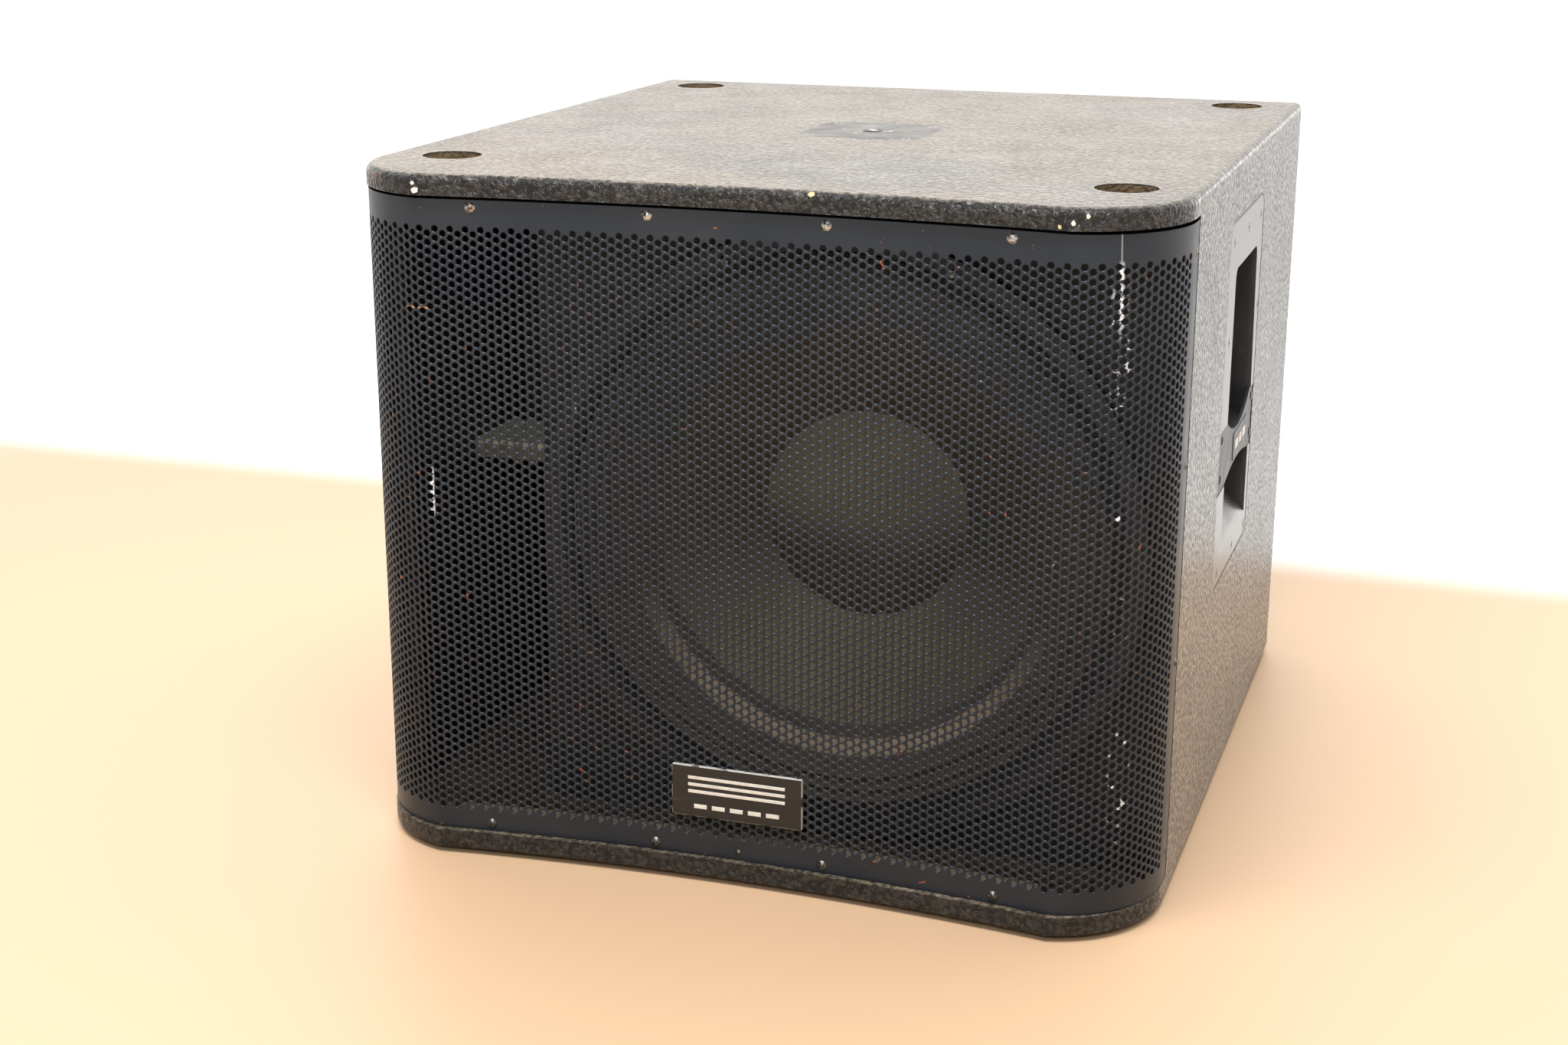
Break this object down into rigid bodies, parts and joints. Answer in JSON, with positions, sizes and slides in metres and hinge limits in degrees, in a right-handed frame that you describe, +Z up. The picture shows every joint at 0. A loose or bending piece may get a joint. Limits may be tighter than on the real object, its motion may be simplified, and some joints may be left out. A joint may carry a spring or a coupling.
{
  "type": "powered subwoofer",
  "caption": "Floor-standing powered 18-inch subwoofer cabinet with a bowed perforated grille, side handles, pole socket, rear amplifier and swivel casters.",
  "frame": {"origin": "under the middle of the whole object, on the surface its feet stand on", "axes": "+Z up, -Y out of the grille, +Y out of the rear amplifier plate, +X to the right seen from the front"},
  "size_m": [0.6088, 0.782, 0.517],
  "materials": {
    "textured_paint": "spatter-textured black paint on plywood",
    "flat_black_paint": "flat black paint on plywood",
    "grille_steel": "satin black powder coat on perforated steel",
    "badge_plastic": "black plate with plain light bars",
    "worn_screws": "blackened steel, worn bright on the raised edges",
    "cast_frame": "black powder-coated casting",
    "gasket_foam": "matt closed-cell foam",
    "surround_cloth": "treated pleated cloth",
    "cone_paper": "dark paper pulp",
    "spider_cloth": "phenolic-dipped cotton",
    "coil_metal": "wound coil on a thin former",
    "magnet_steel": "zinc plated",
    "magnet_ferrite": "sintered ferrite",
    "terminal_plastic": "moulded",
    "handle_plastic": "satin moulded",
    "bridge_plastic": "satin moulded",
    "pole_plate_paint": "black paint on a casting",
    "amp_plate_paint": "fine-textured black paint on aluminium",
    "heat_sink_metal": "black anodised",
    "circuit_board_laminate": "green solder mask",
    "board_metal": "plain",
    "component_case": "sleeved cases",
    "fan_plastic": "moulded",
    "control_plastic": "moulded with a light pointer",
    "connector_shell": "moulded",
    "rocker_plastic": "polished",
    "lamp_lens": "clear green",
    "cable_sleeve": "smooth",
    "caster_zinc": "bright zinc plated",
    "caster_tread": "grey-black rubber",
    "foot_rubber": "matt"
  },
  "bodies": {
    "cabinet": {"amp_circuit_board": "circuit_board_laminate", "amp_components": "component_case", "amp_panel": "amp_plate_paint", "amp_screws": "worn_screws", "back_panel": "textured_paint", "badge_plate": "badge_plastic", "board_standoffs": "board_metal", "bottom_panel": "textured_paint", "caster_plates": "caster_zinc", "caster_screws": "worn_screws", "countersunk_screws": "worn_screws", "fan_housing": "fan_plastic", "foot_screws": "worn_screws", "front_baffle": "flat_black_paint", "front_grille": "grille_steel", "grille_battens": "flat_black_paint", "grille_screws": "worn_screws", "heat_sink": "heat_sink_metal", "indicator_leds": "lamp_lens", "input_jacks": "connector_shell", "left_handle_bridge": "bridge_plastic", "left_handle_pan": "handle_plastic", "left_panel": "textured_paint", "magnet_ring": "magnet_ferrite", "magnet_top_plate": "magnet_steel", "magnet_yoke": "magnet_steel", "output_jacks": "connector_shell", "pole_socket": "pole_plate_paint", "port_brace": "flat_black_paint", "port_divider": "flat_black_paint", "power_inlet": "connector_shell", "power_switch_bezel": "connector_shell", "right_handle_bridge": "bridge_plastic", "right_handle_pan": "handle_plastic", "right_panel": "textured_paint", "rubber_feet": "foot_rubber", "top_panel": "textured_paint", "woofer_basket": "cast_frame", "woofer_cable": "cable_sleeve", "woofer_gasket": "gasket_foam", "woofer_screws": "worn_screws", "woofer_spider": "spider_cloth", "woofer_surround": "surround_cloth", "woofer_terminals": "terminal_plastic"},
    "cone_assembly": {"woofer_cone": "cone_paper", "woofer_dust_cap": "cone_paper", "voice_coil": "coil_metal"},
    "fan_rotor": {"fan_rotor": "fan_plastic"},
    "gain_knob": {"gain_knob": "control_plastic"},
    "power_rocker": {"power_rocker": "rocker_plastic"},
    "mode_switch": {"mode_switch": "control_plastic"},
    "front_light_switch": {"front_light_switch": "control_plastic"},
    "fork_upper_left": {"caster_fork_upper_left": "caster_zinc"},
    "wheel_upper_left": {"caster_wheel_upper_left": "caster_tread"},
    "fork_upper_right": {"caster_fork_upper_right": "caster_zinc"},
    "wheel_upper_right": {"caster_wheel_upper_right": "caster_tread"},
    "fork_lower_left": {"caster_fork_lower_left": "caster_zinc"},
    "wheel_lower_left": {"caster_wheel_lower_left": "caster_tread"},
    "fork_lower_right": {"caster_fork_lower_right": "caster_zinc"},
    "wheel_lower_right": {"caster_wheel_lower_right": "caster_tread"}
  },
  "joints": [
    {"name": "cone_travel", "type": "slide", "parent": "cabinet", "child": "cone_assembly", "axis": [0, -1, 0], "range_m": [-0.008, 0.008], "stiffness_N_per_m": 6000, "deforming": ["woofer_surround", "woofer_spider"]},
    {"name": "fan_spin", "type": "hinge", "parent": "cabinet", "child": "fan_rotor", "pos_m": [0.084, 0.2705, 0.144], "axis": [0, 1, 0], "continuous": true},
    {"name": "gain_turn", "type": "hinge", "parent": "cabinet", "child": "gain_knob", "pos_m": [0, 0.29, 0.398], "axis": [0, 1, 0], "range_deg": [-150, 150]},
    {"name": "power_tip", "type": "hinge", "parent": "cabinet", "child": "power_rocker", "pos_m": [-0.036, 0.282, 0.144], "axis": [1, 0, 0], "range_deg": [0, 20]},
    {"name": "mode_slide", "type": "slide", "parent": "cabinet", "child": "mode_switch", "axis": [1, 0, 0], "range_m": [0, 0.006]},
    {"name": "front_light_slide", "type": "slide", "parent": "cabinet", "child": "front_light_switch", "axis": [1, 0, 0], "range_m": [0, 0.006]},
    {"name": "swivel_upper_left", "type": "hinge", "parent": "cabinet", "child": "fork_upper_left", "pos_m": [-0.235, 0.296, 0.445], "axis": [0, 1, 0], "continuous": true},
    {"name": "roll_upper_left", "type": "hinge", "parent": "fork_upper_left", "child": "wheel_upper_left", "pos_m": [-0.235, 0.351, 0.418], "axis": [1, 0, 0], "continuous": true},
    {"name": "swivel_upper_right", "type": "hinge", "parent": "cabinet", "child": "fork_upper_right", "pos_m": [0.235, 0.296, 0.445], "axis": [0, 1, 0], "continuous": true},
    {"name": "roll_upper_right", "type": "hinge", "parent": "fork_upper_right", "child": "wheel_upper_right", "pos_m": [0.235, 0.351, 0.418], "axis": [1, 0, 0], "continuous": true},
    {"name": "swivel_lower_left", "type": "hinge", "parent": "cabinet", "child": "fork_lower_left", "pos_m": [-0.235, 0.296, 0.075], "axis": [0, 1, 0], "continuous": true},
    {"name": "roll_lower_left", "type": "hinge", "parent": "fork_lower_left", "child": "wheel_lower_left", "pos_m": [-0.235, 0.351, 0.048], "axis": [1, 0, 0], "continuous": true},
    {"name": "swivel_lower_right", "type": "hinge", "parent": "cabinet", "child": "fork_lower_right", "pos_m": [0.235, 0.296, 0.075], "axis": [0, 1, 0], "continuous": true},
    {"name": "roll_lower_right", "type": "hinge", "parent": "fork_lower_right", "child": "wheel_lower_right", "pos_m": [0.235, 0.351, 0.048], "axis": [1, 0, 0], "continuous": true}
  ]
}
